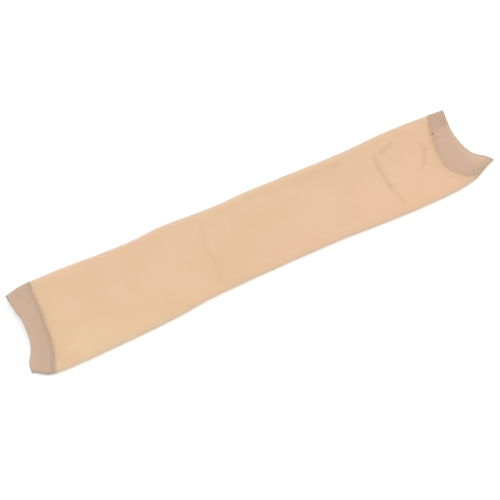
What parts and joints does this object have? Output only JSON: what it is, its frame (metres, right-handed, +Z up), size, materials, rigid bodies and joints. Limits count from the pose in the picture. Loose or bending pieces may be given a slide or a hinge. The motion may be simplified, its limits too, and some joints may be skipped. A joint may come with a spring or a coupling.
{
  "type": "arm compression sleeve",
  "caption": "Sheer knitted arm sleeve, open at both ends, with a doubled welt at each end, lying flat.",
  "frame": {"origin": "middle of the footprint, on the surface that the sleeve lies on", "axes": "+X along the sleeve to the upper-arm end, +Y across it to the far side fold, +Z up"},
  "size_m": [0.404, 0.0838, 0.0085],
  "materials": {
    "knit": "sheer fine knit, matte",
    "welt": "doubled fine knit, matte",
    "thread": "dark thread, matte"
  },
  "bodies": {
    "root": {"sleeve_tube": "knit", "wrist_welt": "welt", "upper_arm_welt": "welt"}
  },
  "joints": []
}
